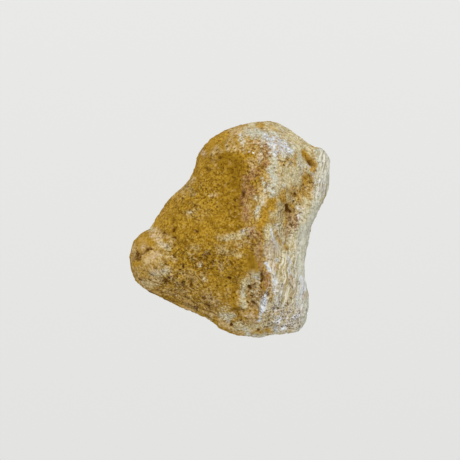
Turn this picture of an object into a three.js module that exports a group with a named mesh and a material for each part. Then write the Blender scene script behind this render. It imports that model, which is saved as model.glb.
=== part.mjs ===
// A whole, unopened geode, lying on the flat spot of its underside.
// It formed as one piece, so it is one closed solid: a rounded nodule with a broad sloping
// face on its left, a worn crest along its length, a furrow and a raised rim on its right,
// and a blunt nose at its lower left. Millimetres, +Z up, +Y along its length.
import * as THREE from 'three';
import { mergeVertices } from 'three/addons/utils/BufferGeometryUtils.js';

// Driving dimensions. Heights are from the widest level, where the outline is taken.
const CROWN = 31; // height of the uncut dome
const KEEL = 24.5; // depth of the uncut bowl
const FOOT_LEVEL = -21.5; // the flat spot that it rests on
const CORE = new THREE.Vector2(2.8, -2.8); // the middle that the outline is seen from
const BARREL = 2.8; // 2 is an ellipse from outline to crown, more is squarer
const EDGE = 9; // higher is sharper where two faces meet
const RELIEF_FULL = 9; // the crests and furrows die out from this height to the widest level
const SIDE_BAND = 6; // half the height of the band round the side where the lumps are lower
const SIDE_CALM = 0.6; // how much lower they are there

// The outline is cleanest at the widest level. These are rises of the direction from the core,
// from 0 at the widest level to 1 straight up or down.
const FACES_RISE = { from: 0.02, full: 0.3 }; // over this the broad faces come to cut in full
const BLUR_RISE = { from: 0.08, full: 0.45 }; // over this the outline's small steps die out
const BLUR_ANGLE = 14; // degrees to each side over which they are smoothed
const BLUR_STEPS = 6;

const RINGS = 19; // the mesh has 20 * (RINGS + 1) ** 2 triangles
const RELAX_STEPS = 12;
const RIM_POINTS = 1200;
const WELD = 1e-5;

// The widest level seen from above, clockwise from the far end.
const OUTLINE = [
  [12.6, 39.4], [18.3, 37.9], [25.4, 32.5], [29.5, 29.7], [33.2, 28.4], [35.4, 26.3],
  [35.6, 21.8], [34.8, 13.2], [32.6, 8.5], [29.4, 3.2], [28.6, -2.8], [27.3, -10.0],
  [27.4, -17.4], [28.7, -23.0], [28.0, -31.2], [27.4, -34.2], [25.3, -36.8], [21.1, -38.0],
  [13.7, -38.9], [10.6, -39.9], [7.2, -38.7], [2.1, -37.7], [-3.1, -36.1], [-6.4, -32.8],
  [-10.5, -30.6], [-25.2, -24.2], [-32.8, -19.3], [-35.1, -14.5], [-35.3, -8.8], [-34.5, -4.6],
  [-32.4, -1.8], [-28.8, 0.1], [-26.9, 2.9], [-20.3, 12.4], [-13.8, 19.2], [-12.4, 22.8],
  [-11.4, 26.7], [-8.4, 30.9], [-3.9, 34.7], [2.1, 37.1], [7.5, 38.9],
];

// Broad faces that it broke or wore along, each through one point. Bearing is counter-clockwise
// from +X and tilt is from straight up, both in degrees.
const FACES = [
  { name: 'long left face', at: [-10, 8, 19], bearing: 165, tilt: 22 },
  { name: 'lower left face', at: [-6, -18, 17], bearing: 238, tilt: 31 },
  { name: 'right flank', at: [22, 2, 17.5], bearing: -8, tilt: 43 },
  { name: 'far end', at: [9, 34, 15], bearing: 85, tilt: 42 },
  { name: 'near end', at: [14, -33, 14], bearing: -80, tilt: 44 },
  { name: 'back, left', at: [-24, -4, -14], bearing: 165, tilt: 150 },
  { name: 'back, right', at: [24, 0, -14], bearing: -10, tilt: 136 },
  { name: 'back, far', at: [8, 32, -13.5], bearing: 80, tilt: 140 },
  { name: 'back, near', at: [-2, -28, -13.5], bearing: -108, tilt: 140 },
  { name: 'shoulder chip', at: [-7, 30, 13], bearing: 128, tilt: 58 },
  { name: 'left wall', at: [-23, 7, 10.5], bearing: 148, tilt: 62 },
  { name: 'far right chip', at: [25, 30, 10.5], bearing: 57, tilt: 60 },
  { name: 'near left chip', at: [-15, -26, 9], bearing: 246, tilt: 64 },
  { name: 'near right chip', at: [25, -33, 10], bearing: -48, tilt: 60 },
  { name: 'back left chip', at: [-14, 17, -10], bearing: 132, tilt: 122 },
  { name: 'back right chip', at: [27, -26, -9], bearing: -38, tilt: 124 },
  { name: 'back far chip', at: [27, 27, -9], bearing: 42, tilt: 126 },
];

// Crests (height above 0) and furrows (below 0), drawn from above. Each fades over its width.
const TOP_RELIEF = [
  { name: 'nose', path: [[-29, -10], [-27, -14.5]], width: 8, height: 2.8 },
  {
    name: 'furrow behind the nose',
    path: [[-27, 1], [-22.5, -4], [-20, -12], [-21, -21]],
    width: 4,
    height: -1.6,
  },
  { name: 'shoulder', path: [[-6, 25], [-1, 31]], width: 8, height: 2 },
  { name: 'dip beside the crest', path: [[0, 22], [3, 12], [4.5, 4]], width: 6, height: -1.8 },
  {
    name: 'crest',
    path: [[10, 35], [17, 29], [18.5, 22], [15, 11], [11.5, 1]],
    width: 6,
    height: 2.4,
  },
  {
    name: 'ledge',
    path: [[-19, -3], [-12, -4.5], [-3, -1.5], [7, 1], [12, -4]],
    width: 5,
    height: 1.4,
  },
  { name: 'slot', path: [[27, 26], [28.7, 23], [30.3, 19.5]], width: 2.4, height: -2.6 },
  {
    name: 'furrow',
    path: [[27.5, 16], [24, 11], [21, 6], [19.8, 0], [20.5, -6]],
    width: 4.2,
    height: -3,
  },
  {
    name: 'rim',
    path: [[33, 25], [32.5, 17], [29, 9], [25.5, 1], [24, -8], [24, -19], [25, -29]],
    width: 4.2,
    height: 1.8,
  },
  {
    name: 'lower crest',
    path: [[11.5, -4], [14, -12], [15.5, -19], [14, -26], [11.5, -31]],
    width: 4.5,
    height: 1.8,
  },
  { name: 'hollow', path: [[9.2, -18], [10, -25.5]], width: 3.4, height: -2.4 },
  { name: 'near right knuckle', path: [[21, -31], [24, -33]], width: 6.5, height: 1.6 },
  { name: 'near ledge', path: [[0, -35.5], [10, -37], [18, -36]], width: 3, height: 1.4 },
];
const UNDER_RELIEF = [
  { name: 'back ridge', path: [[-20, -10], [-8, 4], [2, 22]], width: 7, height: 2.2 },
  { name: 'back furrow', path: [[16, 26], [20, 12], [18, -4]], width: 5.5, height: -2.2 },
  { name: 'back knuckle', path: [[22, -22], [18, -30]], width: 8, height: 2.4 },
  { name: 'back hollow', path: [[-14, -20], [-8, -26]], width: 5, height: -1.8 },
  { name: 'back corner', path: [[28, 18], [30, 24]], width: 7, height: 2 },
];

// Lumps over the whole skin: size across, and how far they stand in or out.
const LUMPS = [
  { size: 16, depth: 1.5 },
  { size: 8.5, depth: 1.0 },
  { size: 4.4, depth: 0.6 },
];

const { clamp, degToRad, lerp, smoothstep } = THREE.MathUtils;

// A fixed pseudo-random number from 0 to 1 for each corner of an integer lattice: large odd
// numbers stir the bits of its three coordinates together.
function latticeValue(x, y, z) {
  let bits = Math.imul(x, 374761393) ^ Math.imul(y, 668265263) ^ Math.imul(z, 2147483647);
  bits = Math.imul(bits ^ (bits >>> 13), 1274126177);
  bits = Math.imul(bits ^ (bits >>> 15), 2246822519);
  return ((bits ^ (bits >>> 16)) >>> 0) / 2 ** 32;
}

// Smooth noise from -1 to 1, one lump to each unit.
function noise(x, y, z) {
  const [cellX, cellY, cellZ] = [x, y, z].map(Math.floor);
  const [fx, fy, fz] = [x - cellX, y - cellY, z - cellZ].map((f) => smoothstep(f, 0, 1));
  const corner = (i, j, k) => latticeValue(cellX + i, cellY + j, cellZ + k);
  const alongX = (j, k) => lerp(corner(0, j, k), corner(1, j, k), fx);
  const alongY = (k) => lerp(alongX(0, k), alongX(1, k), fy);
  return 2 * lerp(alongY(0), alongY(1), fz) - 1;
}

// The outline as a smooth closed curve, and its distance from the core in any direction.
const rim = new THREE.CatmullRomCurve3(
  OUTLINE.map(([x, y]) => new THREE.Vector3(x - CORE.x, y - CORE.y, 0)),
  true,
  'centripetal',
);
const rimPoints = rim
  .getPoints(RIM_POINTS)
  .map((p) => ({ angle: Math.atan2(p.y, p.x), reach: Math.hypot(p.x, p.y) }))
  .sort((a, b) => a.angle - b.angle);

function outlineReach(angle) {
  let low = 0;
  let high = rimPoints.length - 1;
  if (angle <= rimPoints[low].angle || angle >= rimPoints[high].angle) return rimPoints[low].reach;
  while (high - low > 1) {
    const middle = (low + high) >> 1;
    if (rimPoints[middle].angle > angle) high = middle;
    else low = middle;
  }
  const share = (angle - rimPoints[low].angle) / (rimPoints[high].angle - rimPoints[low].angle);
  return lerp(rimPoints[low].reach, rimPoints[high].reach, share);
}

// Away from the widest level the outline's small steps die out, as they would on a real wall.
function wallReach(direction) {
  const angle = Math.atan2(direction.y, direction.x);
  const offLevel = smoothstep(Math.abs(direction.z), BLUR_RISE.from, BLUR_RISE.full);
  if (offLevel === 0) return outlineReach(angle);
  let blurred = 0;
  for (let i = -BLUR_STEPS; i <= BLUR_STEPS; i++) {
    const beside = angle + (i / BLUR_STEPS) * degToRad(BLUR_ANGLE);
    blurred += outlineReach(Math.atan2(Math.sin(beside), Math.cos(beside))) / (2 * BLUR_STEPS + 1);
  }
  return lerp(outlineReach(angle), blurred, offLevel);
}

const faces = FACES.map(({ at, bearing, tilt }) => {
  const normal = new THREE.Vector3(
    Math.sin(degToRad(tilt)) * Math.cos(degToRad(bearing)),
    Math.sin(degToRad(tilt)) * Math.sin(degToRad(bearing)),
    Math.cos(degToRad(tilt)),
  );
  const fromCore = new THREE.Vector3(at[0] - CORE.x, at[1] - CORE.y, at[2]);
  return { normal, distance: fromCore.dot(normal) };
});

// How far the skin is from the core: the barrel of the outline, cut softly by every face.
function skinReach(direction) {
  const across = Math.hypot(direction.x, direction.y) / wallReach(direction);
  const up = Math.abs(direction.z) / (direction.z > 0 ? CROWN : KEEL);
  let nearness = (across ** BARREL + up ** BARREL) ** (EDGE / BARREL);
  const offLevel = smoothstep(Math.abs(direction.z), FACES_RISE.from, FACES_RISE.full);
  for (const { normal, distance } of faces) {
    const facing = direction.dot(normal);
    if (facing > 0) nearness += offLevel * (facing / distance) ** EDGE;
  }
  return nearness ** (-1 / EDGE);
}

function distanceToPath(x, y, path) {
  let nearest = Infinity;
  for (let i = 1; i < path.length; i++) {
    const [ax, ay] = path[i - 1];
    const [bx, by] = path[i];
    const along = ((x - ax) * (bx - ax) + (y - ay) * (by - ay)) / ((bx - ax) ** 2 + (by - ay) ** 2);
    const share = clamp(along, 0, 1);
    nearest = Math.min(nearest, Math.hypot(x - lerp(ax, bx, share), y - lerp(ay, by, share)));
  }
  return nearest;
}

function reliefAt(x, y, strokes) {
  return strokes.reduce(
    (sum, { path, width, height }) =>
      sum + height * Math.exp(-((distanceToPath(x, y, path) / width) ** 2)),
    0,
  );
}

// The finished surface along one direction from the core.
function surfacePoint(direction) {
  const point = direction.clone().multiplyScalar(skinReach(direction));
  const lumps = LUMPS.reduce(
    (sum, { size, depth }) => sum + depth * noise(point.x / size, point.y / size, point.z / size),
    0,
  );
  const calm = SIDE_CALM * Math.exp(-((point.z / SIDE_BAND) ** 2));
  point.addScaledVector(direction, lumps * (1 - calm));
  point.x += CORE.x;
  point.y += CORE.y;
  point.z += reliefAt(point.x, point.y, TOP_RELIEF) * smoothstep(point.z, 0, RELIEF_FULL);
  point.z -= reliefAt(point.x, point.y, UNDER_RELIEF) * smoothstep(-point.z, 0, RELIEF_FULL);
  point.z = Math.max(point.z, FOOT_LEVEL);
  return point;
}

// An even mesh: each direction slides towards the middle of its neighbours' places.
function stoneGeometry() {
  const ball = new THREE.IcosahedronGeometry(1, RINGS);
  ball.deleteAttribute('normal');
  ball.deleteAttribute('uv');
  const geometry = mergeVertices(ball, WELD);
  const corners = geometry.index.array;
  const position = geometry.attributes.position;
  const directions = Array.from({ length: position.count }, (_, i) =>
    new THREE.Vector3().fromBufferAttribute(position, i).normalize(),
  );
  const neighbours = directions.map(() => new Set());
  for (let i = 0; i < corners.length; i += 3) {
    for (let j = 0; j < 3; j++) neighbours[corners[i + j]].add(corners[i + ((j + 1) % 3)]);
  }
  for (let step = 0; step < RELAX_STEPS; step++) {
    const places = directions.map((d) => d.clone().multiplyScalar(skinReach(d)));
    directions.forEach((direction, i) => {
      direction.set(0, 0, 0);
      neighbours[i].forEach((j) => direction.add(places[j]));
      direction.normalize();
    });
  }
  directions.forEach((direction, i) => position.setXYZ(i, ...surfacePoint(direction).toArray()));

  // The origin is under the middle of the stone, on the surface that it rests on.
  geometry.computeBoundingBox();
  const middle = geometry.boundingBox.getCenter(new THREE.Vector3());
  geometry.translate(-middle.x, -middle.y, -FOOT_LEVEL);
  geometry.computeVertexNormals();
  return geometry;
}

const rind = new THREE.MeshStandardMaterial({ color: 0xb8924a, roughness: 0.9, metalness: 0 });
const geode = new THREE.Mesh(stoneGeometry(), rind);
geode.name = 'geode';

const group = new THREE.Group();
group.add(geode);

export default group;
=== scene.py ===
import math

import bpy
import numpy as np
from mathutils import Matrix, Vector, noise


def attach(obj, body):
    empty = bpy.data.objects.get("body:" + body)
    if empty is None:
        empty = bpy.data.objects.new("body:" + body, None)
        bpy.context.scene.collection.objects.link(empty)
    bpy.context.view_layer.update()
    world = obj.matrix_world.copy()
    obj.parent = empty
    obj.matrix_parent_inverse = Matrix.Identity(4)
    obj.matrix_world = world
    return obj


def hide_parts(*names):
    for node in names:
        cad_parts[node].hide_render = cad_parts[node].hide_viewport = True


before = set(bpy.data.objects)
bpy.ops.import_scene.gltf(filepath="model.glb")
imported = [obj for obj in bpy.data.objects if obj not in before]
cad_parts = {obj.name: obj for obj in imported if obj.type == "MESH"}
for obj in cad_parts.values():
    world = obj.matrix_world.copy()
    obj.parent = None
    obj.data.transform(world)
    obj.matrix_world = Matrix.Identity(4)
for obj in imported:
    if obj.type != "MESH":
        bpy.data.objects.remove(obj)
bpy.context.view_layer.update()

# ------------------------------------------------------------
# The eye and the light. The stone lies on a pale sheet, seen from straight above, in soft
# daylight from a wide window beyond its far end and from overhead. The sheet glows of itself,
# a little brighter towards its far end, so the stone casts no shadow beyond its own outline.
# ------------------------------------------------------------
WIDEST_LEVEL = 0.0215  # height of the stone's outline above the sheet
EYE_HEIGHT = 0.391  # above the widest level
LENS_MM = 85.0
SENSOR_MM = 36.0
NEAREST_SEEN = 0.01

camera = bpy.data.objects.new("camera", bpy.data.cameras.new("camera"))
camera.data.lens = LENS_MM
camera.data.sensor_width = SENSOR_MM
camera.data.clip_start = NEAREST_SEEN
camera.location = (0, 0, WIDEST_LEVEL + EYE_HEIGHT)
bpy.context.scene.collection.objects.link(camera)
bpy.context.scene.camera = camera
bpy.context.scene.view_settings.view_transform = "Standard"


class Wire:
    """A socket in a node tree. Arithmetic on it adds Math nodes, and add() any other node."""

    def __init__(self, tree, socket=None):
        self.tree = tree
        self.socket = socket

    def add(self, kind, settings=None, inputs=None, output=0):
        node = self.tree.nodes.new(kind)
        for name, value in (settings or {}).items():
            setattr(node, name, value)
        for name, value in (inputs or {}).items():
            if isinstance(value, Wire):
                self.tree.links.new(value.socket, node.inputs[name])
            else:
                node.inputs[name].default_value = value
        return Wire(self.tree, node.outputs[output] if node.outputs else None)

    def beside(self, output):
        """Another output of the same node."""
        return Wire(self.tree, self.socket.node.outputs[output])

    def math(self, operation, *values):
        return self.add("ShaderNodeMath", {"operation": operation}, dict(enumerate(values)))

    def __add__(self, other):
        return self.math("ADD", self, other)

    def __sub__(self, other):
        return self.math("SUBTRACT", self, other)

    def __rsub__(self, other):
        return self.math("SUBTRACT", other, self)

    def __mul__(self, other):
        return self.math("MULTIPLY", self, other)

    def __truediv__(self, other):
        return self.math("DIVIDE", self, other)

    def __rtruediv__(self, other):
        return self.math("DIVIDE", other, self)

    def __abs__(self):
        return self.math("ABSOLUTE", self)

    __radd__ = __add__
    __rmul__ = __mul__

    def or_more(self, other):
        """The greater of the two."""
        return self.math("MAXIMUM", self, other)

    def smooth(self, low, high):
        """0 at low and 1 at high, with a smooth change between."""
        settings = {"interpolation_type": "SMOOTHSTEP"}
        inputs = {"Value": self, "From Min": low, "From Max": high}
        return self.add("ShaderNodeMapRange", settings, inputs)

    def vector(self, operation, *others):
        inputs = dict(enumerate((self, *others)))
        return self.add("ShaderNodeVectorMath", {"operation": operation}, inputs)

    def scaled(self, amount):
        return self.add("ShaderNodeVectorMath", {"operation": "SCALE"}, {0: self, "Scale": amount})


def srgb(red, green, blue):
    """A colour as it is read off a screen, 0 to 255, in the linear values that light adds up in."""
    linear = [
        c / 12.92 if c <= 0.04045 else ((c + 0.055) / 1.055) ** 2.4
        for c in (red / 255, green / 255, blue / 255)
    ]
    return (*linear, 1.0)


def new_material(name):
    material = bpy.data.materials.new(name)
    material.use_nodes = True
    material.node_tree.nodes.clear()
    return material, Wire(material.node_tree)


SHEET_HALF = 1.2
SHEET_COLOUR = srgb(230, 230, 228)
# The sheet's glow, not a lamp, makes it brighter towards its far end.
SHEET_GLOW_BRIGHTER_FAR = 0.35  # for each metre away along +Y
SHADE_FROM, SHADE_TO = 0.013, 0.022  # from the stone's middle, where its shade ends

sheet_mesh = bpy.data.meshes.new("sheet")
corners = [(x * SHEET_HALF, y * SHEET_HALF, 0) for x, y in ((-1, -1), (1, -1), (1, 1), (-1, 1))]
sheet_mesh.from_pydata(corners, [], [(0, 1, 2, 3)])
sheet = bpy.data.objects.new("sheet", sheet_mesh)
bpy.context.scene.collection.objects.link(sheet)
material, wire = new_material("pale sheet")
place = wire.add("ShaderNodeTexCoord", output="Object")
away = wire.add("ShaderNodeVectorMath", {"operation": "LENGTH"}, {0: place}, output="Value")
along = wire.add("ShaderNodeSeparateXYZ", inputs={"Vector": place}, output="Y")
inputs = {0: SHEET_COLOUR[:3], "Scale": 1 + along * SHEET_GLOW_BRIGHTER_FAR}
brightened = wire.add("ShaderNodeVectorMath", {"operation": "SCALE"}, inputs)
glow = wire.add("ShaderNodeEmission", inputs={"Color": brightened})
paper = wire.add("ShaderNodeBsdfDiffuse", inputs={"Color": SHEET_COLOUR})
open_sheet = away.smooth(SHADE_FROM, SHADE_TO)
surface = wire.add("ShaderNodeMixShader", inputs={0: open_sheet, 1: paper, 2: glow})
wire.add("ShaderNodeOutputMaterial", inputs={"Surface": surface})
sheet_mesh.materials.append(material)

ROOM_COLOUR = srgb(250, 252, 255)
ROOM_BRIGHTNESS = 0.80
world = bpy.data.worlds.new("soft room")
world.use_nodes = True
world.node_tree.nodes["Background"].inputs["Color"].default_value = ROOM_COLOUR
world.node_tree.nodes["Background"].inputs["Strength"].default_value = ROOM_BRIGHTNESS
bpy.context.scene.world = world

PANES = {  # place and width in metres, watts and colour
    "window": ((0.0, 0.80, 0.95), 0.55, 5.0, (1.0, 0.98, 0.95)),
    "overhead": ((0.0, 0.0, 1.4), 0.5, 4.3, (1.0, 1.0, 1.0)),
}
for name, (pane_place, width, watts, colour) in PANES.items():
    lamp = bpy.data.lights.new(name, "AREA")
    lamp.shape = "SQUARE"
    lamp.size = width
    lamp.energy = watts
    lamp.color = colour
    pane = bpy.data.objects.new(name, lamp)
    pane.location = pane_place
    aim = Vector((0, 0, WIDEST_LEVEL)) - Vector(pane_place)
    pane.rotation_euler = aim.to_track_quat("-Z", "Y").to_euler()
    bpy.context.scene.collection.objects.link(pane)

# ------------------------------------------------------------
# The stone: one weathered nodule. Its form is the solid's, merged and rounded off between the
# facets. Its rind is limestone stained through with iron: ochre over most of it, and left
# pale, chalky and sparry along the worn crest and the right-hand rim.
# ------------------------------------------------------------
MM = 0.001
ROUNDING_LEVELS = 2
WELD_MM = 0.01

stone_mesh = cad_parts["geode"].data.copy()
stone_mesh.name = "stone"
stone_mesh.materials.clear()
stone = bpy.data.objects.new("stone", stone_mesh)
bpy.context.scene.collection.objects.link(stone)
weld = stone.modifiers.new("weld", "WELD")
weld.merge_threshold = WELD_MM * MM
rounding = stone.modifiers.new("rounding", "SUBSURF")
rounding.levels = ROUNDING_LEVELS
rounding.render_levels = ROUNDING_LEVELS


def settled(piece):
    """The piece's mesh as its modifiers leave it, with the modifiers taken off."""
    bpy.context.view_layer.update()
    evaluated = piece.evaluated_get(bpy.context.evaluated_depsgraph_get())
    finished = bpy.data.meshes.new_from_object(evaluated)
    piece.modifiers.clear()
    finished.name = piece.name
    piece.data = finished
    return finished


def rows(items, name):
    """The vector of this name that each item of a mesh has, as the rows of an array."""
    values = np.empty(len(items) * 3, np.float32)
    items.foreach_get(name, values)
    return values.reshape(-1, 3)


stone_mesh = settled(stone)
points = rows(stone_mesh.vertices, "co") / MM
upward = rows(stone_mesh.vertex_normals, "vector")[:, 2]

# Stains and scars are placed as the upper side is seen from the eye, in millimetres at the
# widest level, +X to the right and +Y away. Their edges wander by two sizes of noise, and
# further on the steep sides, where they ran.
WANDER = ((3.0, 0.55), (1.1, 0.28))  # size of the noise and how far it moves an edge
WALL_WANDER = (9.0, 10.0)
SEEN_MIDDLE = np.array([0.2, -0.2])
STEEP_FROM, STEEP_TO = 0.38, -0.3  # upward part of the way that the skin faces
WANDER_SEED = 3
noise.seed_set(WANDER_SEED)  # so that they wander the same way on every run


def rise(values, low, high):
    """0 at low and 1 at high, with a smooth change between."""
    share = np.clip((values - low) / (high - low), 0, 1)
    return share * share * (3 - 2 * share)


def drift(places, size, reach):
    """How far noise of one size moves each place."""
    return reach * np.array([noise.noise_vector(Vector(place) / size)[:2] for place in places])


def seen_from_above(places, steep):
    """Where the eye sees each place, with the wander of the marks added."""
    nearness = EYE_HEIGHT / (EYE_HEIGHT + WIDEST_LEVEL - places[:, 2:] * MM)
    edges = sum(drift(places, size, reach) for size, reach in WANDER)
    ran = drift(places, *WALL_WANDER) * steep[:, None]
    return places[:, :2] * nearness + SEEN_MIDDLE + edges + ran


# The eye sees what faces up. Round the sides, where the skin turns under, the marks die out.
FACING_FROM, FACING_TO = -0.45, -0.15
LEVEL_FROM, LEVEL_TO = 9.0, 16.0
on_top = rise(upward, FACING_FROM, FACING_TO) * rise(points[:, 2], LEVEL_FROM, LEVEL_TO)
hidden = 1 - on_top
top = np.flatnonzero(on_top > 0)
seen = seen_from_above(points[top], rise(upward[top], STEEP_FROM, STEEP_TO))

FADE = 0.7  # exp(-FADE), which is about half, is left of a stroke at its half width
SHORTEST = 1e-9


def away_from(path):
    """The distance of each place that is seen from a path of one or more points."""
    path = np.array(path, float)
    nearest = np.full(len(seen), np.inf)
    for start, end in zip(path, path[1:] if len(path) > 1 else path):
        stretch = end - start
        share = np.clip((seen - start) @ stretch / max(stretch @ stretch, SHORTEST), 0, 1)
        gap = seen - start - share[:, None] * stretch
        nearest = np.minimum(nearest, np.hypot(gap[:, 0], gap[:, 1]))
    return nearest


def covered(strokes, wider=1.0):
    """How much each point is covered, from 0 to 1, by strokes of (path, half width, strength)."""
    cover = np.zeros(len(points))
    for path, width, strength in strokes:
        reach = (away_from(path) / (width * wider)) ** 2
        cover[top] = np.maximum(cover[top], strength * np.exp(-reach * FADE))
    return cover * on_top


def keep(name, values):
    """Stores one number for each point of the stone, for the carving and the rind to read."""
    attribute = stone_mesh.attributes.new(name, "FLOAT", "POINT")
    attribute.data.foreach_set("value", np.asarray(values, np.float32))


# Each stain's strokes: the path, half the width, and the strength, which is above 1 where the
# stain covers fully.
# Some pale strokes in the dents by the right rim and near (16, -5) are painted paler where the lamps leave
# those slopes in shade: painted light.
STAINS = {}
# Dark olive-brown ochre.
STAINS["umber"] = [
    ([(-3.6, 25), (0, 24), (2, 21), (1, 17)], 3.6, 0.9), ([(-6, 24), (-6, 18)], 2.4, 0.5),
    ([(-14, 2), (-16, -1)], 2, 0.4), ([(-9, -14), (-8, -17)], 1.8, 0.5), ([(-1, 14), (-1, 9)], 2.8, 0.55),
    ([(-4, 26), (-3, 25.4)], 0.9, 0.6), ([(1.4, 24.4), (2, 22.6)], 1.2, 0.7),
    ([(0.4, 20.6), (2.4, 20)], 1, 0.7), ([(-1.5, 22.6), (-1, 19.5)], 1.2, 0.5),
    ([(2, 18), (2.4, 14), (2, 9), (1.2, 5)], 1.7, 0.8), ([(3, 8), (4, 4)], 1.4, 0.6),
    ([(-6, 17.6), (-4, 16), (-2, 14.6)], 1.4, 0.5), ([(-7, -14), (-5, -14)], 1.4, 0.6),
    ([(-12, 18), (-11, 20)], 1.4, 0.5), ([(-9, 24), (-8, 21.5)], 1.2, 0.5),
    ([(-5.4, 0.4), (-3, 0.8), (-0.6, 0.5)], 0.45, 0.8), ([(0, -0.4), (1.4, 0), (3, 0.6)], 0.45, 0.8),
    ([(-20.4, 4.8), (-19, 4), (-18.4, 3.4)], 0.8, 0.7), ([(-14.6, 0.4), (-11, -0.6)], 1.5, 0.8),
    ([(-6.4, 24.6), (-6, 23)], 1.2, 0.5), ([(-23.8, -0.8), (-23, -1.6)], 0.9, 0.6),
    ([(-20, 0.4), (-20, -0.8)], 0.9, 0.8), ([(-13, 0), (-11.6, -0.8)], 0.9, 0.8),
    ([(-20.4, -3), (-19.4, -2.6)], 0.7, 0.8), ([(7.6, -8), (8, -12), (8, -14.6)], 1.6, 0.75),
    ([(-18, -5.2), (-17, -4), (-15.8, -4.4)], 0.7, 0.8), ([(-22, -19), (-14, -22), (-6, -26)], 2.6, 0.28),
    ([(2, -19), (2, -22), (1, -24), (1.6, -26.6)], 0.9, 0.6),
    ([(1.5, -28.8), (3, -28.6), (4.6, -29.3)], 0.9, 0.9), ([(-7, 2.8), (-6, 3.8), (-5, 3)], 0.6, 0.5),
    ([(-19, -11.6), (-17, -13)], 1.3, 0.45), ([(-24, -10.4), (-22.6, -11.4)], 0.7, 0.6),
    ([(-24.4, -12.8), (-22.2, -13.6)], 0.8, 0.65), ([(-26.4, -11.2)], 0.5, 0.6),
    ([(-21, -5), (-20.4, -6.6)], 0.9, 0.6), ([(-21, 5), (-19, 3)], 1.2, 0.5),
    ([(-11.6, 8.8), (-13.4, 8.4), (-11, 10.6)], 0.5, 0.5), ([(-13, 3), (-11, 1)], 1.4, 0.4),
    ([(0, 21), (0, 19)], 1.8, 0.5), ([(9.4, -35.6), (10, -37)], 0.6, 0.7), ([(13, -32.8)], 0.6, 0.7),
    ([(-29.4, -14.4), (-28, -16), (-26.6, -16.6)], 0.5, 0.6), ([(-13, -9), (-11.6, -9.6)], 1, 0.6),
    ([(2, 31.7)], 0.8, 0.6), ([(-3, -19), (-2.6, -21)], 0.6, 0.5), ([(-12, -20), (-16, -19)], 1.6, 0.4),
    ([(26.6, 21), (26.4, 19)], 0.9, 0.5), ([(4.6, 25.6), (5.4, 24)], 0.9, 0.5),
    ([(11.6, 20.2), (11.4, 18.6)], 0.8, 0.5), ([(-10, -9.6), (-6, -10)], 1.2, 0.4),
]
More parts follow.
